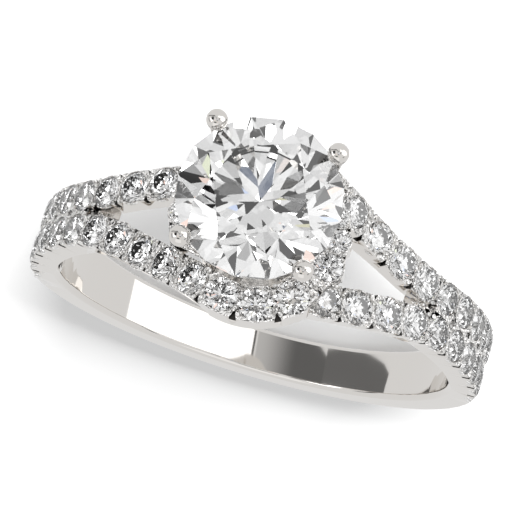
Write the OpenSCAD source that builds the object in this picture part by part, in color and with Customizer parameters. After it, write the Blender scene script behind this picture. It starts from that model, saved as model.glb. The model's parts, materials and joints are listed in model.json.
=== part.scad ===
// Engagement ring: a split, bypassing shank whose two rising strands sweep round a
// raised round stone and become its halo. The ring is drawn in its own frame, with the
// finger along Y and the head up Z, and is then laid on its side as it comes to rest.
// It is the same after half a turn about the head's axis. The origin is the middle of
// the finger's opening.

/* [Finger size] */
// Inner diameter of the band
finger_d = 17.34; // [17.2:0.01:17.5]

/* [Band] */
// Thickness of the band at the back
band_t = 1.63; // [1.55:0.01:1.7]
// Distance from the finger's axis to the round outside's own axis, towards the back
outside_shift = 0.33; // [0.3:0.01:0.36]
// Half the width of the band at the back
back_half_w = 1.0; // [0.8:0.01:1.1]
// Rounding of the finger's edges
inner_round = 0.28; // [0.2:0.01:0.3]
// Bevel on the outer edges at the back, which fades out at the sides
outer_bevel = 0.22; // [0.1:0.01:0.3]
// Distance from the head's axis to the fork between the strands
fork_x = 7.4; // [7.2:0.1:7.6]

/* [Strands] */
// Half the width of a strand
strand_half_w = 0.67; // [0.66:0.01:0.7]
// Distance of a strand's middle from the band's middle, where they run together
strand_y = 0.74; // [0.72:0.01:0.76]
// Thickness of the halo's rail from top to bottom
rail_t = 1.1; // [1.0:0.05:1.2]

/* [Centre stone] */
// Diameter of the centre stone
centre_d = 6.4; // [6.2:0.1:6.5]
// Height of its girdle's middle above the finger's axis
centre_z = 14.86; // [14.7:0.01:15.0]

/* [Halo] */
// Radius of the circle of halo stones
halo_r = 3.12; // [3.1:0.01:3.16]
// Height of the halo's top above the finger's axis
halo_z = 11.05; // [11.0:0.01:11.1]

/* [Small stones] */
// Diameter of a stone in the strands
pave_d = 1.3; // [1.2:0.01:1.32]
// Step from stone to stone, measured round the finger in degrees
pave_step = 8.4; // [8.4:0.1:8.6]
// Stones in one row of the band
pave_count = 10; // [6:1:10]
// Gap between a stone and its seat
seat_gap = 0.03; // [0.02:0.01:0.05]

/* [Prongs] */
// Diameter of a prong's ball tip
ball_d = 0.84; // [0.8:0.01:0.9]
// Diameter of a prong at its foot
prong_foot_d = 0.56; // [0.5:0.01:0.6]
// Diameter of a prong at its top
prong_top_d = 0.72; // [0.68:0.01:0.76]

/* [Rest] */
// Tilt of the finger's axis when the ring lies on its side
rest_tilt = 8.01; // [7.9:0.01:8.3]

/* [Hidden] */
halo_names = [for (i = [1:14]) str("halo_stone_", i)];

SEGMENTS = 96;
FAR = 30;
finger_r = finger_d / 2;
outer_r = finger_r + band_t - outside_shift;
outer_z = -outside_shift;
back_z = outer_r + outside_shift;
side_half_w = strand_y + strand_half_w;

// Cut of a round brilliant, as parts of its diameter
TABLE = 0.57;
CROWN = 0.155;
GIRDLE = 0.03;
PAVILION = 0.43;
STAR = 0.5;
LOWER = 0.24;
SIDES = 8;
STEP = 360 / SIDES;

// How far a small stone's table stands above the metal
TABLE_PROUD = 0.05;
// Turn from one stone's facets to the next one's
FACET_TURN = 17;

// How far a strand's buried ends are held back inside the metal that they grow out of
INSET = 0.015;
FOOT_INSET = 0.05;
// Height of the flat on which the strands start, and the angles of their buried stretch
FOOT_Z = 6.2;
FOOT_ANGLES = [33, 39];
FREE_ANGLE = 49;
ANGLE_STEP = 4;
// Thickness of a strand where it is clear of the finger's bore, and how far it keeps from it
STRAND_T = 1.25;
BORE_GAP = 0.03;
// Bevel on a strand's lower edges
STRAND_BEVEL = 0.15;

// Middle lines of the strands seen from above, as curves with four control points
halo_join = -105;
join_pull = 2.6;
join_point = halo_r * [cos(halo_join), sin(halo_join)];
RISING = [
    [-8.0, -strand_y],
    [-5.5, -strand_y - 0.04],
    join_point - join_pull * [-sin(halo_join), cos(halo_join)],
    join_point,
];
LOW = [[8.2, -strand_y], [6.3, -strand_y - 0.04], [4.4, -1.6], [1.3, -1.9]];

// Heights of the strands' tops, against the distance along the band
rise_x = 5.3;
low_x = 4.6;
base_z = 9.85;
RISING_TOP = [
    [-rise_x, outside_z(rise_x)],
    [-rise_x + 1.4, outside_z(rise_x) + 1.4 * outside_slope(rise_x)],
    [-2.3, halo_z],
    [join_point[0], halo_z],
];
LOW_TOP = [
    [low_x, outside_z(low_x)],
    [low_x - 0.8, outside_z(low_x) + 0.8 * outside_slope(low_x)],
    [2.6, base_z],
    [1.3, base_z],
];
CURVE_PARTS = 10;

// Halo stones of one strand: angle round the head's axis, diameter
HALO_ANGLE = 0;
HALO_D = 1;
HALO = [
    [-76.2, 1.32],
    [-49.5, 1.32],
    [-14.5, 1.16],
    [6.0, 0.96],
    [23.0, 0.74],
];
// Stones on the rise to the halo: distance along the band, diameter
RISE_X = 0;
RISE_D = 1;
RISE = [
    [-3.36, 1.3],
    [-2.04, 1.32],
    [-0.68, 1.32],
];
// Angles of a row's stones round the finger, and the distance of the low row's last one
FIRST_ANGLE = 63.4;
row_angles = [for (i = [0:pave_count - 2]) FIRST_ANGLE - pave_step * i];
LOW_END_X = 3.2;

// The halo's rail: its wide and narrow half widths, and where it narrows and ends
RAIL_WIDE = 0.71;
RAIL_NARROW = 0.44;
NARROWS = [-45, -35];
HALO_END = 26;
ARC_STEP = 5;
CUP_WALL = 0.07;
CUPS_FROM = -60;

// The prongs' middles at foot and top, and the ring they stand on
PRONG_FOOT = [1.75, 9.0];
PRONG_TOP = [3.38, centre_z + 0.4];
BASE_OUTER_R = 2.45;
BASE_INNER_R = 1.5;
BASE_FOOT_Z = 7.8;

function outside_z(x) = sqrt(pow(outer_r, 2) - pow(x, 2)) + outer_z;
function outside_slope(x) = x / sqrt(pow(outer_r, 2) - pow(x, 2));
function unit(v) = v / norm(v);

// A point, and the direction of travel, on a curve with four control points
function curve(p, t) =
    pow(1 - t, 3) * p[0] + 3 * t * pow(1 - t, 2) * p[1]
    + 3 * pow(t, 2) * (1 - t) * p[2] + pow(t, 3) * p[3];
function curve_way(p, t) = unit(curve(p, min(t + 0.01, 1)) - curve(p, max(t - 0.01, 0)));
// The value of t at which a curve reaches x, found by halving
function t_at(p, x, low = 0, high = 1, turns = 24) =
    turns == 0 ? (low + high) / 2
    : let (mid = (low + high) / 2)
      (curve(p, mid)[0] - x) * (p[3][0] - p[0][0]) > 0
        ? t_at(p, x, low, mid, turns - 1)
        : t_at(p, x, mid, high, turns - 1);
// A middle line's distance from the band's middle, at a distance along the band
function line_y(line, x) =
    abs(x) > abs(line[0][0]) ? line[0][1] : curve(line, t_at(line, x))[1];
function rail_half_w(angle) =
    angle < NARROWS[0] ? RAIL_WIDE
    : angle < NARROWS[1]
        ? RAIL_WIDE + (RAIL_NARROW - RAIL_WIDE) * (angle - NARROWS[0]) / (NARROWS[1] - NARROWS[0])
        : RAIL_NARROW;

// Stations of a strand: the point on its top, the way up there, how far it is inset, and
// how far it has come from its thickness round the finger to that at its end
STATION_AT = 0;
STATION_UP = 1;
STATION_INSET = 2;
STATION_PART = 3;
function round_station(line, side, angle, inset) =
    let (x = side * outer_r * cos(angle)) [
        [x, line_y(line, x), outer_z + outer_r * sin(angle)],
        [side * cos(angle), 0, sin(angle)],
        inset,
        0,
    ];
function top_station(line, top, side, part, inset) =
    let (at = curve(top, part), way = curve_way(top, part) * -side)
    [[at[0], line_y(line, at[0]), at[1]], [-way[1], 0, way[0]], inset, part];
function strand_stations(line, top, side) = concat(
    [for (angle = FOOT_ANGLES) round_station(line, side, angle, FOOT_INSET)],
    [for (angle = [FREE_ANGLE:ANGLE_STEP:acos(abs(top[0][0]) / outer_r) - 2])
        round_station(line, side, angle, 0)],
    [for (i = [0:CURVE_PARTS - 1]) top_station(line, top, side, i / CURVE_PARTS, 0)],
    [top_station(line, top, side, 1, INSET)]
);

// Pieces that lie on the side where the ring rests
module rest() {
    rotate([90 - rest_tilt, 0, 0]) children();
}

module half_turn() {
    children();
    rotate([0, 0, 180]) children();
}

module along_finger(r, h) {
    rotate([90, 0, 0]) cylinder(r = r, h = h, center = true, $fn = SEGMENTS);
}

// What is left of a piece outside the finger's opening
module bored() {
    difference() {
        children();
        along_finger(finger_r, FAR);
    }
}

// The block between the band's two flat flanks, which lean in towards the back
module between_flanks() {
    past = 1.2;
    low_half_w = side_half_w + past * (back_half_w - side_half_w);
    rotate([90, 0, 90]) linear_extrude(FAR, center = true) polygon([
        [-low_half_w, -past * back_z], [low_half_w, -past * back_z], [side_half_w, 0],
        [side_half_w, FOOT_Z], [-side_half_w, FOOT_Z], [-side_half_w, 0],
    ]);
}

// Lays a shape drawn round Z, with Z outwards, on the flank at +Y
module on_flank(lean, z) {
    translate([0, side_half_w, z]) rotate([-90 - lean, 0, 0]) children();
}

// What is cut from the finger's edges: a quarter round, in three flats
flank_lean = atan((side_half_w - back_half_w) / back_z);
module edge_round() {
    rotate_extrude($fn = SEGMENTS) polygon(concat(
        [[finger_r - 1, 1], [finger_r - 1, -inner_round]],
        [for (a = [0:30:90]) [finger_r + inner_round * (1 - cos(a)), inner_round * (sin(a) - 1)]],
        [[finger_r + inner_round, 1]]
    ));
}

// The cone that bevels an outer edge
bevel_lean = atan((side_half_w - back_half_w + outer_bevel) / back_z);
module edge_cone() {
    reach = 4;
    translate([0, 0, -reach])
        cylinder(r1 = outer_r + reach, r2 = outer_r - 1, h = reach + 1, $fn = SEGMENTS);
}

module lower_band() {
    difference() {
        intersection() {
            translate([0, 0, outer_z]) along_finger(outer_r, FAR);
            between_flanks();
            on_flank(bevel_lean, outer_z) edge_cone();
            mirror([0, 1, 0]) on_flank(bevel_lean, outer_z) edge_cone();
        }
        on_flank(flank_lean, 0) edge_round();
        mirror([0, 1, 0]) on_flank(flank_lean, 0) edge_round();
    }
}

// Metal that fills the gap between the strands below the fork
module fork() {
    half = 0.3;
    intersection() {
        translate([0, 0, outer_z]) along_finger(outer_r - INSET, FAR);
        translate([fork_x, -half, FOOT_Z - 1]) cube([FAR, 2 * half, FAR]);
    }
}

// Depth from a point on a strand's top, straight down through it, to the finger's bore
function bore_depth(at, up) =
    let (
        along = at[0] * up[0] + at[2] * up[2],
        left_over = pow(along, 2) - pow(at[0], 2) - pow(at[2], 2) + pow(finger_r + BORE_GAP, 2)
    )
    left_over < 0 ? FAR : along - sqrt(left_over);

// A bar with bevelled lower edges along its stations, square to its top all the way
module strand(stations, end_t) {
    last = len(stations) - 1;
    points = [for (i = [0:last])
        let (
            at = stations[i][STATION_AT],
            up = stations[i][STATION_UP],
            inset = stations[i][STATION_INSET],
            way = unit(stations[min(i + 1, last)][STATION_AT] - stations[max(i - 1, 0)][STATION_AT]),
            left = cross(up, way),
            half = strand_half_w + (RAIL_WIDE - strand_half_w) * i / last - inset,
            full_t = STRAND_T + (end_t - STRAND_T) * stations[i][STATION_PART],
            low = inset - min(full_t, bore_depth(at, up))
        )
        for (corner = [
            [half, -inset], [half, low + STRAND_BEVEL], [half - STRAND_BEVEL, low],
            [STRAND_BEVEL - half, low], [-half, low + STRAND_BEVEL], [-half, -inset],
        ]) at + corner[0] * left + corner[1] * up
    ];
    count = 6;
    polyhedron(points, concat(
        [[for (j = [count - 1:-1:0]) j]],
        [for (i = [0:last - 1]) for (j = [0:count - 1]) let (next = (j + 1) % count)
            [i * count + j, i * count + next, (i + 1) * count + next, (i + 1) * count + j]],
        [[for (j = [0:count - 1]) last * count + j]]
    ));
}

// The halo's part of the rising strand: a rail bent round the head's axis
module rail() {
    angles = [for (a = [halo_join:ARC_STEP:HALO_END]) a];
    translate([0, 0, halo_z - rail_t]) linear_extrude(rail_t) polygon(concat(
        [for (a = angles) (halo_r + rail_half_w(a)) * [cos(a), sin(a)]],
        [for (i = [len(angles) - 1:-1:0])
            (halo_r - rail_half_w(angles[i])) * [cos(angles[i]), sin(angles[i])]]
    ));
}

// Round cups under the smaller halo stones
module cups() {
    for (row = HALO)
        if (row[HALO_ANGLE] > CUPS_FROM)
            rotate([0, 0, row[HALO_ANGLE]]) translate([halo_r, 0, halo_z - rail_t])
                cylinder(r = row[HALO_D] / 2 + CUP_WALL, h = rail_t, $fn = SEGMENTS);
}

module base_ring() {
    difference() {
        translate([0, 0, BASE_FOOT_Z])
            cylinder(r = BASE_OUTER_R, h = base_z + INSET - BASE_FOOT_Z, $fn = SEGMENTS);
        cylinder(r = BASE_INNER_R, h = FAR, $fn = SEGMENTS);
    }
}

module prongs() {
    lean = atan((PRONG_TOP[0] - PRONG_FOOT[0]) / (PRONG_TOP[1] - PRONG_FOOT[1]));
    for (quarter = [0:3])
        rotate([0, 0, 45 + 90 * quarter]) {
            translate([PRONG_FOOT[0], 0, PRONG_FOOT[1]]) rotate([0, lean, 0])
                cylinder(d1 = prong_foot_d, d2 = prong_top_d,
                    h = norm(PRONG_TOP - PRONG_FOOT), $fn = SEGMENTS);
            translate([PRONG_TOP[0], 0, PRONG_TOP[1]]) sphere(d = ball_d, $fn = SEGMENTS);
        }
}

// Frames that seat a stone: its table's middle is the origin, and faces +Z
module stand_proud() {
    translate([0, 0, TABLE_PROUD]) children();
}
module on_round(line, side, angle) {
    x = side * outer_r * cos(angle);
    translate([x, line_y(line, x), outer_z + outer_r * sin(angle)])
        rotate([0, side * (90 - angle), 0]) stand_proud() children();
}
module on_top(line, top, side, x) {
    t = t_at(top, x);
    way = curve_way(top, t) * -side;
    translate([x, line_y(line, x), curve(top, t)[1]])
        rotate([0, -atan2(way[1], way[0]), 0]) stand_proud() children();
}
module on_halo(angle) {
    rotate([0, 0, angle]) translate([halo_r, 0, halo_z]) stand_proud() children();
}

module low_row() {
    on_top(LOW, LOW_TOP, 1, LOW_END_X) children();
    for (i = [0:len(row_angles) - 1])
        on_round(LOW, 1, row_angles[i]) rotate([0, 0, FACET_TURN * i]) children();
}
module rising_row() {
    on_top(RISING, RISING_TOP, -1, RISE[0][RISE_X]) children();
    for (i = [0:len(row_angles) - 1])
        on_round(RISING, -1, row_angles[i]) rotate([0, 0, FACET_TURN * i]) children();
}

// One of the halo's stones, or its seat, by its number in one strand
on_rise_count = len(RISE) - 1;
strand_count = on_rise_count + len(HALO);
function halo_stone_d(i) =
    i <= on_rise_count ? RISE[i][RISE_D] : HALO[i - on_rise_count - 1][HALO_D];
module on_halo_place(i) {
    if (i <= on_rise_count)
        on_top(RISING, RISING_TOP, -1, RISE[i][RISE_X]) children();
    else
        on_halo(HALO[i - on_rise_count - 1][HALO_ANGLE]) children();
}

// A round brilliant with its table's middle at the origin, facing +Z
function ring_of(r, z, count, turn) =
    [for (i = [0:count - 1]) [r * cos(i * 360 / count + turn), r * sin(i * 360 / count + turn), z]];
module brilliant(d) {
    r = d / 2;
    table_r = TABLE * r;
    crown_h = CROWN * d;
    low_girdle = -crown_h - GIRDLE * d;
    star_r = table_r * cos(STEP / 2) + STAR * (r - table_r * cos(STEP / 2));
    star_z = -(star_r * cos(STEP / 2) - table_r) * crown_h / (r - table_r);
    lower_r = LOWER * r;
    lower_z = low_girdle - PAVILION * d * (1 - lower_r * cos(STEP / 2) / r);
    points = concat(
        ring_of(table_r, 0, SIDES, 0),
        ring_of(star_r, star_z, SIDES, STEP / 2),
        ring_of(r, -crown_h, 2 * SIDES, 0),
        ring_of(r, low_girdle, 2 * SIDES, 0),
        ring_of(lower_r, lower_z, SIDES, STEP / 2),
        [[0, 0, low_girdle - PAVILION * d]]
    );
    star = SIDES;
    up = 2 * SIDES;
    down = 4 * SIDES;
    low = 6 * SIDES;
    tip = 7 * SIDES;
    polyhedron(points, concat(
        [[for (i = [SIDES - 1:-1:0]) i]],
        [for (i = [0:SIDES - 1])
            let (next = (i + 1) % SIDES, back = (i + SIDES - 1) % SIDES, far = (2 * i + 2) % (2 * SIDES))
            for (face = [
                [i, next, star + i],
                [i, star + i, up + 2 * i],
                [i, up + 2 * i, star + back],
                [star + i, up + 2 * i + 1, up + 2 * i],
                [star + i, up + far, up + 2 * i + 1],
                [low + i, down + 2 * i, down + 2 * i + 1],
                [low + i, down + 2 * i + 1, down + far],
                [tip, down + 2 * i, low + i],
                [tip, low + back, down + 2 * i],
            ]) face],
        [for (i = [0:2 * SIDES - 1]) let (next = (i + 1) % (2 * SIDES))
            [up + i, up + next, down + next, down + i]]
    ));
}

// The room that a stone needs in the metal: open above its girdle
module seat(d) {
    r = d / 2 + seat_gap;
    low_girdle = -(CROWN + GIRDLE) * d - seat_gap;
    rotate_extrude($fn = SEGMENTS) polygon([
        [0, low_girdle - PAVILION * d], [r, low_girdle], [r, 1], [0, 1],
    ]);
}

// The centre stone's room in the prongs, closed over its crown
module centre_room() {
    r = centre_d / 2 + seat_gap;
    half = GIRDLE * centre_d / 2 + seat_gap;
    translate([0, 0, centre_z]) rotate_extrude($fn = SEGMENTS) polygon([
        [0, -half - PAVILION * centre_d], [r, -half], [r, half],
        [TABLE * centre_d / 2 + seat_gap, half + CROWN * centre_d],
        [0, half + CROWN * centre_d],
    ]);
}

module metal() {
    color([0.82, 0.81, 0.79]) rest() difference() {
        union() {
            bored() lower_band();
            half_turn() {
                bored() fork();
                strand(strand_stations(RISING, RISING_TOP, -1), rail_t);
                strand(strand_stations(LOW, LOW_TOP, 1), STRAND_T);
                rail();
                cups();
            }
            bored() base_ring();
            prongs();
        }
        half_turn() {
            low_row() seat(pave_d);
            rising_row() seat(pave_d);
            for (i = [1:strand_count]) on_halo_place(i) seat(halo_stone_d(i));
        }
        centre_room();
    }
}

module centre_stone() {
    color([0.95, 0.97, 1.0]) rest()
        translate([0, 0, centre_z + (GIRDLE / 2 + CROWN) * centre_d]) brilliant(centre_d);
}

module halo_stone(number) {
    half = floor((number - 1) / strand_count);
    i = number - half * strand_count;
    color([0.92, 0.95, 0.98]) rest() rotate([0, 0, 180 * half])
        on_halo_place(i) rotate([0, 0, FACET_TURN * i]) brilliant(halo_stone_d(i));
}

module pave_low(half) {
    color([0.92, 0.95, 0.98]) rest() rotate([0, 0, 180 * half]) low_row() brilliant(pave_d);
}

module pave_rising(half) {
    color([0.92, 0.95, 0.98]) rest() rotate([0, 0, 180 * half]) rising_row() brilliant(pave_d);
}

metal();
centre_stone();
for (i = [1:len(halo_names)])
    halo_stone(i);
pave_low(0);  // pave_low_right
pave_low(1);  // pave_low_left
pave_rising(0);  // pave_rising_left
pave_rising(1);  // pave_rising_right
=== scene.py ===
"""Dresses the halo engagement ring: polished white gold, bead-set stones, studio and camera."""

import json
import math

import bmesh
import bpy
import numpy as np
from mathutils import Matrix, Vector


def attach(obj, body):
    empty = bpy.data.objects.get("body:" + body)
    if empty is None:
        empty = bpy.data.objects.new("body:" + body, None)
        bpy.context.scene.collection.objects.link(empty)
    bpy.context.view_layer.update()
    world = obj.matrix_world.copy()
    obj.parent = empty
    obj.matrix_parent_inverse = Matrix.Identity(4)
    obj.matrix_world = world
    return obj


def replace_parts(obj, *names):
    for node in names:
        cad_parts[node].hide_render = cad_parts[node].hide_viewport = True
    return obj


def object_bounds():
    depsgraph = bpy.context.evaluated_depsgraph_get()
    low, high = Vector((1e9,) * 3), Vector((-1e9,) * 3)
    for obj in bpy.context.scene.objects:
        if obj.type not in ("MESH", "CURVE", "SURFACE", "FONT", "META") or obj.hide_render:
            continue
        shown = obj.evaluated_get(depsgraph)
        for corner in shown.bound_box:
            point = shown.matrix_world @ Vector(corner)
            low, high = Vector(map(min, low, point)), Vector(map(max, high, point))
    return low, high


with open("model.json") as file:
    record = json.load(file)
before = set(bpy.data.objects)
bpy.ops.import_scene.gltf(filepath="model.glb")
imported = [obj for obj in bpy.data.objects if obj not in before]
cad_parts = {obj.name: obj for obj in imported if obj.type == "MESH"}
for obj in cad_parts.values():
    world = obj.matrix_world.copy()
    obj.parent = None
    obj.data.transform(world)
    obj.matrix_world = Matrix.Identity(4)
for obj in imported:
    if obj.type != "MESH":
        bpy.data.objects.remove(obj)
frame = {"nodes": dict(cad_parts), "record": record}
cad_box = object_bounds()
nodes = frame["nodes"]

# One millimetre in the frame's metres
MM = 0.001

WHITE = (1, 1, 1)

# Camera, in millimetres and degrees in the part's frame
CAMERA_FROM = Vector((-8.52, -101.28, 42.11))
CAMERA_AT = Vector((0.515, -0.72, -1.553))
CAMERA_ROLL = -162.02
LENS = 176.02
SENSOR = 36.0
CLIP_START = 1.0

# Finish of the polished metal: noise scale a metre, and the roughness's share from and to
GOLD_COLOUR = (0.80, 0.775, 0.745, 1)
GOLD_ROUGHNESS = 0.05
MARKS_SCALE = 900.0
MARKS_DETAIL = 6.0
MARKS_SHARES = (0.6, 1.4)

# Painted shade: a near-black metal on the faces of the cuts between the stones and at the forks,
# and its roughness
PAINTED_SHADE_COLOUR = (0.05, 0.047, 0.044, 1)
RECESS_ROUGHNESS = 0.45

# Finish of the graver-cut metal, its colour lighter than the polished gold's as painted light: its
# cells' size and depth in millimetres, how far from the middle of a stone it reaches, and how
# nearly a face has to face as the stone does
GRAVED_PAINTED_LIGHT_COLOUR = (0.96, 0.95, 0.935, 1)
GRAVED_ROUGHNESS = 0.14
GRAVED_CELL = 0.16
GRAVED_DEPTH = 0.16
GRAVED_PAINTED_LIGHT_REACH = 1.0
GRAVED_PAINTED_LIGHT_FACING = 0.7

DIAMOND_IOR = 2.42

# Edges sharper than this stay sharp, in degrees
SMOOTH_ANGLE = 24

# How full the small stones are drawn: the share of the room to the next stone, and the most
TOUCH = 0.985
MOST_SPREAD = 1.12

# How far the small stones are lifted, in millimetres
LIFT = 0.08

# Points within this share of a stone's radius are its girdle's
GIRDLE_SHARE = 0.99

# Points nearer to each other than this are joined, in millimetres
MERGE_STONES = 1e-4
MERGE_METAL = 2e-4

# The radius of the small stones for which the notches and the beads are sized, in millimetres
SIZED_FOR = 0.65

# A notch between two stones, in millimetres from the middle of their gap
NOTCH_APEX = 0.46
NOTCH_HALF_W = 0.19
NOTCH_REACH = 0.9
NOTCH_DEPTH = 0.34
NOTCH_TOP = 1.0

# The slot that sharpens each fork between two strands: turn from the head in degrees, sizes
FORK_TURN = 48.0
FORK_ASIDE = 0.1
FORK_OPEN = 1.0
FORK_POINT = 1.15
FORK_HALF_W = 0.27
FORK_RADII = (9.35, 11.6)

# Beads in a gap: along the row, out from its middle, radius
BEADS = [
    (0, 0.36, 0.085),
    (-0.15, 0.56, 0.095),
    (0.15, 0.56, 0.095),
]
BEAD_RISE = 0.06
BEAD_SEGMENTS = 14
BEAD_RINGS = 9

# A collar's section, as parts of its stone's radius: outwards from the edge, and up
COLLAR = [
    (-0.045, 0.02),
    (-0.01, 0.075),
    (0.035, 0.065),
    (0.05, 0.0),
    (0.03, -0.14),
    (-0.10, -0.36),
    (-0.17, -0.36),
    (-0.06, -0.1),
]
COLLAR_STEPS = 28

# Studio, in millimetres and watts: the world's glow, and its glow as seen through the stones
WORLD_GLOW = 0.8
STONES_GLOW = 1.0
FLOOR_SIZE = 3000.0
FLOOR_COLOUR = (0.6, 0.6, 0.6, 1)
FLOOR_ROUGHNESS = 0.6
FLOOR_GLOW = 0.12
KEY_FROM = (-112, -562, 116)
KEY_SIZE = (240, 120)
KEY_POWER = 23

# Cards just above the floor that only show through the stones: name, X from and to, Y from
# and to, glow; and how far each one lies above the last
FLOOR_CARD_STEP = 0.01
FLOOR_CARDS = [
    ("floor_pale", -90, 90, -120, -9, 0.82),
    ("floor_dark_1", -11, -8, -50, -18, 0.03),
    ("floor_dark_2", -2.5, 0, -50, -18, 0.03),
    ("floor_dark_3", 5, 7.5, -50, -18, 0.03),
    ("floor_dark_4", 24, 32, -60, -14, 0.04),
    ("floor_dark_5", -44, -32, -60, -10, 0.05),
]

# Upright cards that the band's inside reflects: name, from X and Y, to X and Y, Z from and to,
# glow, and for a fade the glow at one edge and the share of the card that it takes
INSIDE_CARDS = [
    ("inside_bright_1", (-80, -5.5), (-80, -80), -30, -3, 1.5, None),
    ("inside_bright_2", (-80, -80), (-1.5, -80), -30, -3, 1.5, None),
    ("inside_line", (-1.4, -80), (0.4, -80), -20, -3, 0.10, None),
    ("inside_dark_1", (80, -80), (2.0, -80), -20.5, -5, 0.13, (0.55, 0.5)),
    ("inside_dark_2", (80, -80), (80, 4.0), -22.5, -12, 0.15, None),
]

# Cards round the ring: name, azimuth from the front, elevation, distance, width, height, glow, tint
ROUND_CARDS = [
    ("flag_low", 6, 6, 90, 15, 12, 0.03, WHITE),
    ("flag_mid", -10, 30, 90, 20, 10, 0.03, WHITE),
    ("flag_right", -23, 10, 90, 9, 28, 0.03, WHITE),
    ("flag_high", 8, 50, 90, 36, 16, 0.03, WHITE),
    ("flag_far_left", 84, 18, 100, 12, 60, 0.04, WHITE),
    ("flag_side_right", -72, 16, 100, 12, 60, 0.04, WHITE),
    ("left_panel", 52, 24, 110, 36, 56, 3.0, WHITE),
    ("top_panel", 0, 80, 120, 110, 80, 1.0, WHITE),
    ("rose_chip_1", 16, 30, 88, 9, 8, 1.3, (1.0, 0.74, 0.66)),
    ("rose_chip_2", -20, 40, 88, 8, 8, 1.2, (1.0, 0.80, 0.72)),
    ("blue_chip", -14, 20, 88, 8, 8, 1.2, (0.66, 0.76, 1.0)),
    ("slate_chip", 2, 15, 88, 9, 7, 0.28, (0.62, 0.74, 1.0)),
    ("olive_chip", 6, 38, 88, 8, 8, 0.85, (0.95, 0.93, 0.66)),
    ("lime_chip", -5, 44, 88, 5, 5, 1.2, (0.95, 1.0, 0.78)),
]

# Cards that don't show through the stones, for the prongs' balls, in the same terms
METAL_CARDS = [
    ("ball_dark", 40, 14, 86, 38, 40, 0.04, WHITE),
    ("ball_bright", -54, -8, 84, 62, 62, 1.7, WHITE),
]

# Small cards that only show through the stones: name, azimuths, elevation, distance, size, glow
STONE_CARDS = [
    ("spark_low", (-70, -50, -30, -12, 18, 30, 42, 56, 74), 8, 90, 7, 5.0),
    ("spark_mid", (-62, -38, -18, 2, 22, 44, 66), 26, 90, 6, 5.0),
    ("spark_high", (-50, -20, 12, 46), 48, 90, 6, 5.0),
    ("spark_left", (24,), 14, 92, 20, 4.0),
    ("grey_low", (-35, -17, 20, 36), -6, 90, 14, 0.5),
    ("grey_mid", (-44, -22, 7, 28), 33, 90, 12, 0.5),
    ("shade_low", (-60, -40, -4, 10, 65), 8, 90, 9, 0.02),
    ("shade_mid", (-50, -28, -7, 9), 20, 90, 13, 0.02),
    ("shade_peak", (-4,), 26, 86, 12, 0.02),
    ("shade_high", (-36, -6, 28), 40, 90, 14, 0.02),
]

# The nodes of each row of small stones, from the back of the band to the head
ROWS = [
    ["pave_low_right"],
    ["pave_low_left"],
    ["pave_rising_left"] + [f"halo_stone_{i}" for i in range(1, 8)],
    ["pave_rising_right"] + [f"halo_stone_{i}" for i in range(8, 15)],
]


def set_input(node, name, value):
    """Sets a socket's own value."""
    node.inputs[name].default_value = value


def new_material(name):
    """A material with its node tree and its Principled shader."""
    material = bpy.data.materials.new(name)
    material.use_nodes = True
    return material, material.node_tree, material.node_tree.nodes["Principled BSDF"]


def polished_gold():
    """Polished white gold with faint polishing marks."""
    material, tree, shader = new_material("polished_white_gold")
    set_input(shader, "Base Color", GOLD_COLOUR)
    set_input(shader, "Metallic", 1.0)
    place = tree.nodes.new("ShaderNodeTexCoord")
    marks = tree.nodes.new("ShaderNodeTexNoise")
    set_input(marks, "Scale", MARKS_SCALE)
    set_input(marks, "Detail", MARKS_DETAIL)
    spread = tree.nodes.new("ShaderNodeMapRange")
    set_input(spread, "To Min", GOLD_ROUGHNESS * MARKS_SHARES[0])
    set_input(spread, "To Max", GOLD_ROUGHNESS * MARKS_SHARES[1])
    tree.links.new(place.outputs["Object"], marks.inputs["Vector"])
    tree.links.new(marks.outputs["Fac"], spread.inputs["Value"])
    tree.links.new(spread.outputs["Result"], shader.inputs["Roughness"])
    return material


def graved_gold_painted_light():
    """White gold cut with a graver beside the stones, which glitters, drawn lighter than the
    polished gold as painted light.
    """
    material, tree, shader = new_material("graved_white_gold_painted_light")
    set_input(shader, "Base Color", GRAVED_PAINTED_LIGHT_COLOUR)
    set_input(shader, "Metallic", 1.0)
    set_input(shader, "Roughness", GRAVED_ROUGHNESS)
    place = tree.nodes.new("ShaderNodeTexCoord")
    cells = tree.nodes.new("ShaderNodeTexVoronoi")
    set_input(cells, "Scale", 1 / (GRAVED_CELL * MM))
    bump = tree.nodes.new("ShaderNodeBump")
    set_input(bump, "Strength", 1.0)
    set_input(bump, "Distance", GRAVED_DEPTH * MM)
    tree.links.new(place.outputs["Object"], cells.inputs["Vector"])
    tree.links.new(cells.outputs["Distance"], bump.inputs["Height"])
    tree.links.new(bump.outputs["Normal"], shader.inputs["Normal"])
    return material


def painted_shade_metal():
    """A near-black metal inside the notches and the forks, as painted shade."""
    material, _, shader = new_material("painted_shade_white_gold")
    set_input(shader, "Base Color", PAINTED_SHADE_COLOUR)
    set_input(shader, "Metallic", 1.0)
    set_input(shader, "Roughness", RECESS_ROUGHNESS)
    return material


def diamond(name):
    """Clear cut diamond."""
    material, _, shader = new_material(name)
    set_input(shader, "Base Color", (*WHITE, 1))
    set_input(shader, "Roughness", 0.0)
    set_input(shader, "IOR", DIAMOND_IOR)
    set_input(shader, "Transmission Weight", 1.0)
    return material


def dress(piece, material):
    """Gives a piece one material."""
    piece.data.materials.clear()
    piece.data.materials.append(material)


def add_piece(name, mesh, material):
    """Links a new mesh as a piece of the ring."""
    piece = bpy.data.objects.new(name, mesh)
    bpy.context.scene.collection.objects.link(piece)
    dress(piece, material)
    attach(piece, "root")
    return piece


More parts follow.
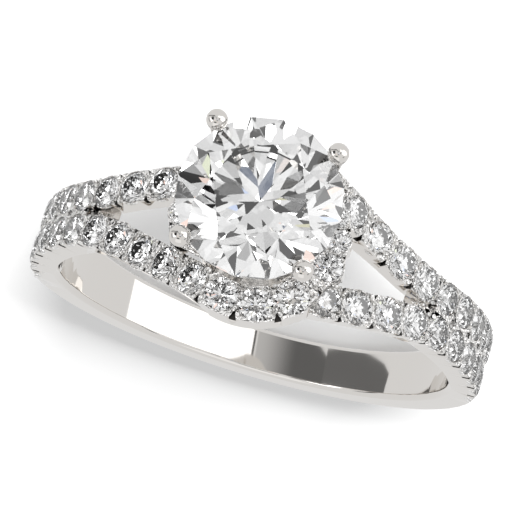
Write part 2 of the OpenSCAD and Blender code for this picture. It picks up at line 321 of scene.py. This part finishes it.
class Stone:
    """Where a stone sits: the middles of its table and girdle, the way it faces and its radius."""

    def __init__(self, points):
        middle = points.mean(0)
        _, axes = np.linalg.eigh(np.cov((points - middle).T))
        axis = axes[:, 0]
        heights = (points - middle) @ axis
        if -heights.min() < heights.max():
            axis = -axis
            heights = -heights
        off_axis = np.linalg.norm(points - middle - np.outer(heights, axis), axis=1)
        self.radius = off_axis.max()
        self.up = Vector(axis)
        self.table = Vector(middle + axis * heights.max())
        at_girdle = off_axis > GIRDLE_SHARE * self.radius
        self.girdle = Vector(middle + axis * heights[at_girdle].mean())
        self.spread = 1.0


def islands(node):
    """The loose solids of a node, each as an array of points."""
    mesh = bmesh.new()
    mesh.from_mesh(node.data)
    bmesh.ops.remove_doubles(mesh, verts=mesh.verts, dist=MERGE_STONES * MM)
    seen = set()
    found = []
    for start in mesh.verts:
        if start in seen:
            continue
        seen.add(start)
        todo = [start]
        solid = []
        while todo:
            vert = todo.pop()
            solid.append(vert.co[:])
            for edge in vert.link_edges:
                other = edge.other_vert(vert)
                if other not in seen:
                    seen.add(other)
                    todo.append(other)
        found.append(np.array(solid))
    mesh.free()
    return found


def turn_round_finger(stone):
    """A stone's angle from the back of the band, round the finger's axis."""
    axis = Vector(frame["record"]["mounts"][0]["axis"])
    across = Vector((1, 0, 0))
    return abs(math.atan2(stone.table.dot(across), stone.table.dot(axis.cross(across))))


def row_of_stones(names):
    """The stones of a row in order, from the back of the band."""
    row = []
    for name in names:
        solids = [Stone(points) for points in islands(nodes[name])]
        row += sorted(solids, key=turn_round_finger)
    for stone in row:
        rooms = [
            (stone.girdle - other.girdle).length / (stone.radius + other.radius)
            for other in row
            if other is not stone
        ]
        stone.spread = min(min(rooms) * TOUCH, MOST_SPREAD)
    return row


def fuller_stones(rows, material):
    """Draws the small stones so full that each one nearly meets the next, and a little higher."""
    stones = [stone for row in rows for stone in row]
    middles = np.array([stone.girdle for stone in stones])
    for names in ROWS:
        for name in names:
            mesh = nodes[name].data.copy()
            for vert in mesh.vertices:
                stone = stones[np.linalg.norm(middles - vert.co, axis=1).argmin()]
                spread = (vert.co - stone.girdle) * stone.spread
                vert.co = stone.girdle + spread + stone.up * LIFT * MM
            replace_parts(add_piece(f"set_{name}", mesh, material), name)


def add_collars(rows, material):
    """Adds a thin collar of metal round each small stone's edge."""
    ring = bmesh.new()
    loops = []
    for step in range(COLLAR_STEPS):
        angle = 2 * math.pi * step / COLLAR_STEPS
        way = Vector((math.cos(angle), math.sin(angle), 0))
        section = [way * (1 + r) + Vector((0, 0, z)) for r, z in COLLAR]
        loops.append([ring.verts.new(point * MM) for point in section])
    for one, other in zip(loops, loops[1:] + loops[:1]):
        for i in range(len(COLLAR)):
            j = (i + 1) % len(COLLAR)
            ring.faces.new([one[i], other[i], other[j], one[j]])
    bmesh.ops.recalc_face_normals(ring, faces=ring.faces)
    ring.verts.index_update()
    places = []
    for row in rows:
        for stone in row:
            turn = stone.up.to_track_quat("Z", "Y").to_matrix().to_4x4()
            at = Matrix.Translation(stone.girdle + stone.up * LIFT * MM)
            places.append(at @ turn @ Matrix.Scale(stone.radius * stone.spread / MM, 4))
    mesh = stamped("collars", ring, places)
    ring.free()
    mesh.shade_smooth()
    mesh.set_sharp_from_angle(angle=math.radians(SMOOTH_ANGLE))
    add_piece("collars", mesh, material)


def gaps(rows):
    """A frame in each gap between two stones of a row, and the smaller stone's radius.

    X is along the row, Y across it and Z up.
    """
    for row in rows:
        for one, other in zip(row, row[1:]):
            up = (one.up + other.up).normalized()
            along = (other.table - one.table).normalized()
            across = up.cross(along).normalized()
            along = across.cross(up)
            middle = (one.table + other.table) / 2
            turn = Matrix((along, across, up)).transposed().to_4x4()
            yield Matrix.Translation(middle) @ turn, min(one.radius, other.radius) / MM


def add_wedge(mesh, place, outline, heights):
    """Adds a closed three-sided wedge in a frame, in millimetres."""
    ends = []
    for z in heights:
        corners = [place @ (Vector((x, y, z)) * MM) for x, y in outline]
        ends.append([mesh.verts.new(corner / MM) for corner in corners])
    low, high = ends
    mesh.faces.new(low)
    mesh.faces.new(high[::-1])
    for i in range(3):
        j = (i + 1) % 3
        mesh.faces.new([low[i], high[i], high[j], low[j]])


def fork_frames():
    """A frame at each fork: X towards the back of the band, Y along the finger, Z outwards."""
    axis = Vector(frame["record"]["mounts"][0]["axis"])
    head = Vector((1, 0, 0)).cross(axis)
    for side in (-1, 1):
        out = Matrix.Rotation(math.radians(FORK_TURN) * side, 3, axis) @ head
        back = axis.cross(out) * side
        across = out.cross(back)
        shift = axis * FORK_ASIDE * MM * -side
        yield Matrix.Translation(shift) @ Matrix((back, across, out)).transposed().to_4x4()


def notch_cutters(rows, material):
    """Wedges in millimetres that cut the metal between neighbouring stones and at the forks, and
    carry the near-black metal of painted shade onto the cut faces.
    """
    notch = [(0, NOTCH_APEX), (-NOTCH_HALF_W, NOTCH_REACH), (NOTCH_HALF_W, NOTCH_REACH)]
    slot = [(-FORK_OPEN, -FORK_HALF_W), (-FORK_OPEN, FORK_HALF_W), (FORK_POINT, 0)]
    mesh = bmesh.new()
    for place, radius in gaps(rows):
        scale = radius / SIZED_FOR
        for side in (-1, 1):
            outline = [(x * scale, side * y * scale) for x, y in notch]
            add_wedge(mesh, place, outline, (-NOTCH_DEPTH, NOTCH_TOP))
    for place in fork_frames():
        add_wedge(mesh, place, slot, FORK_RADII)
    bmesh.ops.recalc_face_normals(mesh, faces=mesh.faces)
    data = bpy.data.meshes.new("notches")
    mesh.to_mesh(data)
    mesh.free()
    data.materials.append(material)
    cutters = bpy.data.objects.new("notches", data)
    bpy.context.scene.collection.objects.link(cutters)
    return cutters


def grave_and_paint_light(mesh, rows, slot):
    """Gives one material slot to the metal beside the small stones that faces as they do:
    graver-cut, and lighter as painted light.
    """
    stones = [stone for row in rows for stone in row]
    middles = np.array([stone.girdle for stone in stones])
    for face in mesh.polygons:
        away = np.linalg.norm(middles - face.center, axis=1)
        stone = stones[away.argmin()]
        near = away.min() < GRAVED_PAINTED_LIGHT_REACH * MM
        facing = face.normal.dot(stone.up) > GRAVED_PAINTED_LIGHT_FACING
        if near and facing and face.material_index == 0:
            face.material_index = slot


def finish_metal(rows, material, painted_shade, graved_painted_light):
    """Notches the metal's edges between the stones and sharpens its forks, with painted shade in
    the cuts, and graves it, the graver-cut metal drawn lighter as painted light.
    """
    mesh = nodes["metal"].data.copy()
    mesh.transform(Matrix.Scale(1 / MM, 4))
    shape = bmesh.new()
    shape.from_mesh(mesh)
    bmesh.ops.remove_doubles(shape, verts=shape.verts, dist=MERGE_METAL)
    shape.to_mesh(mesh)
    shape.free()
    metal = add_piece("ring_metal", mesh, material)
    cutters = notch_cutters(rows, painted_shade)
    # The faces of the cuts take the cutters' near-black metal, as painted shade.
    cut = metal.modifiers.new("notches", "BOOLEAN")
    cut.operation = "DIFFERENCE"
    cut.solver = "MANIFOLD"
    cut.material_mode = "TRANSFER"
    cut.object = cutters
    bpy.context.view_layer.update()
    evaluated = metal.evaluated_get(bpy.context.evaluated_depsgraph_get())
    result = bpy.data.meshes.new_from_object(evaluated)
    metal.modifiers.clear()
    result.transform(Matrix.Scale(MM, 4))
    metal.data = result
    bpy.data.objects.remove(cutters)
    result.materials.append(graved_painted_light)
    grave_and_paint_light(result, rows, len(result.materials) - 1)
    result.shade_smooth()
    result.set_sharp_from_angle(angle=math.radians(SMOOTH_ANGLE))
    weigh = metal.modifiers.new("normals", "WEIGHTED_NORMAL")
    weigh.keep_sharp = True
    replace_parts(metal, "metal")


def stamped(name, template, places):
    """A mesh of copies of a template, one at each place."""
    points = np.array([vert.co[:] for vert in template.verts])
    faces = [[vert.index for vert in face.verts] for face in template.faces]
    all_points = []
    all_faces = []
    for place in places:
        turn = np.array(place)
        first = len(all_points) * len(points)
        all_points.append(points @ turn[:3, :3].T + turn[:3, 3])
        all_faces += [[first + i for i in face] for face in faces]
    mesh = bpy.data.meshes.new(name)
    mesh.from_pydata(np.concatenate(all_points).tolist(), [], all_faces)
    return mesh


def one_bead():
    """A ball of 1 mm radius, with its points and faces in the same order each time."""
    ball = bmesh.new()
    top = ball.verts.new((0, 0, MM))
    rings = []
    for level in range(1, BEAD_RINGS):
        tilt = math.pi * level / BEAD_RINGS
        ring = []
        for step in range(BEAD_SEGMENTS):
            turn = 2 * math.pi * step / BEAD_SEGMENTS
            way = Vector((math.sin(turn), math.cos(turn), 0)) * math.sin(tilt)
            ring.append(ball.verts.new((way + Vector((0, 0, math.cos(tilt)))) * MM))
        rings.append(ring)
    bottom = ball.verts.new((0, 0, -MM))
    for i in range(BEAD_SEGMENTS):
        j = (i + 1) % BEAD_SEGMENTS
        ball.faces.new([top, rings[0][j], rings[0][i]])
        for upper, lower in zip(rings, rings[1:]):
            ball.faces.new([upper[i], upper[j], lower[j], lower[i]])
        ball.faces.new([bottom, rings[-1][i], rings[-1][j]])
    bmesh.ops.recalc_face_normals(ball, faces=ball.faces)
    ball.verts.index_update()
    return ball


def add_beads(rows, material):
    """Adds the beads that hold the small stones, in the gaps between them."""
    places = []
    for place, radius in gaps(rows):
        scale = radius / SIZED_FOR
        for along, out, size in BEADS:
            for side in (-1, 1):
                at = Vector((along * scale, side * out * scale, BEAD_RISE - size * scale))
                shape = Matrix.Scale(size * scale, 4)
                places.append(place @ Matrix.Translation(at * MM) @ shape)
    ball = one_bead()
    mesh = stamped("beads", ball, places)
    ball.free()
    mesh.shade_smooth()
    add_piece("setting_beads", mesh, material)


def add_camera():
    """Adds the camera at the photograph's angle."""
    data = bpy.data.cameras.new("camera")
    data.lens = LENS
    data.sensor_width = SENSOR
    data.clip_start = CLIP_START * MM
    camera = bpy.data.objects.new("camera", data)
    bpy.context.scene.collection.objects.link(camera)
    look = (CAMERA_AT - CAMERA_FROM).to_track_quat("-Z", "Y").to_matrix()
    turn = look @ Matrix.Rotation(math.radians(CAMERA_ROLL), 3, "Z")
    camera.matrix_world = Matrix.Translation(CAMERA_FROM * MM) @ turn.to_4x4()
    bpy.context.scene.camera = camera


def add_floor():
    """Adds a plain pale floor under the ring, which glows softly as a light table does."""
    bpy.ops.mesh.primitive_plane_add(size=FLOOR_SIZE * MM, location=(0, 0, cad_box[0][2]))
    floor = bpy.context.object
    floor.name = "floor"
    material, _, shader = new_material("pale_floor")
    set_input(shader, "Base Color", FLOOR_COLOUR)
    set_input(shader, "Roughness", FLOOR_ROUGHNESS)
    set_input(shader, "Specular IOR Level", 0.0)
    set_input(shader, "Emission Color", (*WHITE, 1))
    set_input(shader, "Emission Strength", FLOOR_GLOW)
    dress(floor, material)
    floor.visible_glossy = False


def add_light(name, at, aim, size, power):
    """Adds an oblong soft light in millimetres, which doesn't show in reflections or in stones."""
    data = bpy.data.lights.new(name, "AREA")
    data.shape = "RECTANGLE"
    data.size = size[0] * MM
    data.size_y = size[1] * MM
    data.energy = power
    light = bpy.data.objects.new(name, data)
    bpy.context.scene.collection.objects.link(light)
    turn = (Vector(aim) - Vector(at)).to_track_quat("-Z", "Y").to_matrix().to_4x4()
    light.matrix_world = Matrix.Translation(Vector(at) * MM) @ turn
    light.visible_glossy = False
    light.visible_transmission = False


def fade_glow(tree, shader, glow, edge_glow, share):
    """Lets a card's glow change from one value at its own +X edge to another further in."""
    place = tree.nodes.new("ShaderNodeTexCoord")
    parts = tree.nodes.new("ShaderNodeSeparateXYZ")
    spread = tree.nodes.new("ShaderNodeMapRange")
    spread.interpolation_type = "SMOOTHSTEP"
    set_input(spread, "From Min", 1)
    set_input(spread, "From Max", 1 - share)
    set_input(spread, "To Min", edge_glow)
    set_input(spread, "To Max", glow)
    tree.links.new(place.outputs["Generated"], parts.inputs["Vector"])
    tree.links.new(parts.outputs["X"], spread.inputs["Value"])
    tree.links.new(spread.outputs["Result"], shader.inputs["Emission Strength"])


def add_card(name, at, facing, size, glow, tint=WHITE, fade=None):
    """Adds a glowing card that only shows in reflections and in stones, in millimetres.

    A fade gives the glow at the card's own +X edge, and the share of the card that it takes.
    """
    mesh = bpy.data.meshes.new(name)
    half_w = size[0] * MM / 2
    half_h = size[1] * MM / 2
    low = [(-half_w, -half_h, 0), (half_w, -half_h, 0)]
    high = [(half_w, half_h, 0), (-half_w, half_h, 0)]
    mesh.from_pydata(low + high, [], [(0, 1, 2, 3)])
    card = bpy.data.objects.new(name, mesh)
    bpy.context.scene.collection.objects.link(card)
    turn = Vector(facing).to_track_quat("Z", "Y").to_matrix().to_4x4()
    card.matrix_world = Matrix.Translation(Vector(at) * MM) @ turn
    material, _, shader = new_material(name)
    set_input(shader, "Base Color", (0, 0, 0, 1))
    set_input(shader, "Specular IOR Level", 0.0)
    set_input(shader, "Emission Color", (*tint, 1))
    set_input(shader, "Emission Strength", glow)
    if fade:
        fade_glow(material.node_tree, shader, glow, *fade)
    dress(card, material)
    card.visible_camera = False
    card.visible_diffuse = False
    card.visible_shadow = False
    return card


def add_floor_cards():
    """Adds cards on the floor, one just above another, which tone what the stones see of it."""
    z = cad_box[0][2] / MM
    for name, x0, x1, y0, y1, glow in FLOOR_CARDS:
        z += FLOOR_CARD_STEP
        middle = ((x0 + x1) / 2, (y0 + y1) / 2, z)
        card = add_card(name, middle, (0, 0, 1), (x1 - x0, y1 - y0), glow)
        card.visible_glossy = False


def add_inside_cards():
    """Adds the cards that the band's inside reflects, below the floor's level."""
    for name, start, end, z0, z1, glow, fade in INSIDE_CARDS:
        middle = (Vector((*start, z0)) + Vector((*end, z1))) / 2
        facing = Vector((end[1] - start[1], start[0] - end[0], 0))
        if facing.dot(middle) > 0:
            facing = -facing
        width = math.dist(start, end)
        card = add_card(name, middle, facing, (width, z1 - z0), glow, fade=fade)
        card.visible_transmission = False


def way_to(azimuth, elevation):
    """The direction at an azimuth from the front and an elevation, in degrees."""
    azimuth = math.radians(azimuth)
    elevation = math.radians(elevation)
    flat = math.cos(elevation)
    return Vector((flat * math.sin(azimuth), -flat * math.cos(azimuth), math.sin(elevation)))


def add_round_cards(cards, in_stones=True):
    """Adds bright and dark cards round the ring, each given by its direction from it."""
    for name, azimuth, elevation, distance, width, height, glow, tint in cards:
        way = way_to(azimuth, elevation)
        card = add_card(name, way * distance, -way, (width, height), glow, tint)
        card.visible_transmission = in_stones


def add_stone_cards():
    """Adds small bright and dark cards that make the stones sparkle."""
    for name, azimuths, elevation, distance, size, glow in STONE_CARDS:
        for azimuth in azimuths:
            way = way_to(azimuth, elevation)
            card = add_card(f"{name}_{azimuth}", way * distance, -way, (size, size), glow)
            card.visible_glossy = False


def add_world():
    """Sets pale surroundings, a little brighter as seen through the stones."""
    world = bpy.data.worlds.new("studio")
    world.use_nodes = True
    tree = world.node_tree
    background = tree.nodes["Background"]
    set_input(background, "Color", (*WHITE, 1))
    path = tree.nodes.new("ShaderNodeLightPath")
    glow = tree.nodes.new("ShaderNodeMapRange")
    set_input(glow, "To Min", WORLD_GLOW)
    set_input(glow, "To Max", STONES_GLOW)
    tree.links.new(path.outputs["Is Transmission Ray"], glow.inputs["Value"])
    tree.links.new(glow.outputs["Result"], background.inputs["Strength"])
    bpy.context.scene.world = world


gold = polished_gold()
small_diamond = diamond("small_diamond")
centre_diamond = diamond("centre_diamond")
for name, node in nodes.items():
    if name == "metal":
        dress(node, gold)
    elif name == "centre_stone":
        dress(node, centre_diamond)
    else:
        dress(node, small_diamond)

rows = [row_of_stones(names) for names in ROWS]
# The graver-cut gold, lighter than the polished gold as painted light, goes on the metal beside the
# stones, the collars and the beads.
graved_painted_light = graved_gold_painted_light()
# The notches and the forks take a near-black metal, as painted shade.
finish_metal(rows, gold, painted_shade_metal(), graved_painted_light)
fuller_stones(rows, small_diamond)
add_collars(rows, graved_painted_light)
add_beads(rows, graved_painted_light)

add_camera()
add_floor()
add_floor_cards()
add_inside_cards()
add_round_cards(ROUND_CARDS)
add_round_cards(METAL_CARDS, in_stones=False)
add_stone_cards()
add_world()
add_light("key", KEY_FROM, (0, 0, 0), KEY_SIZE, KEY_POWER)
bpy.context.scene.view_settings.view_transform = "Standard"
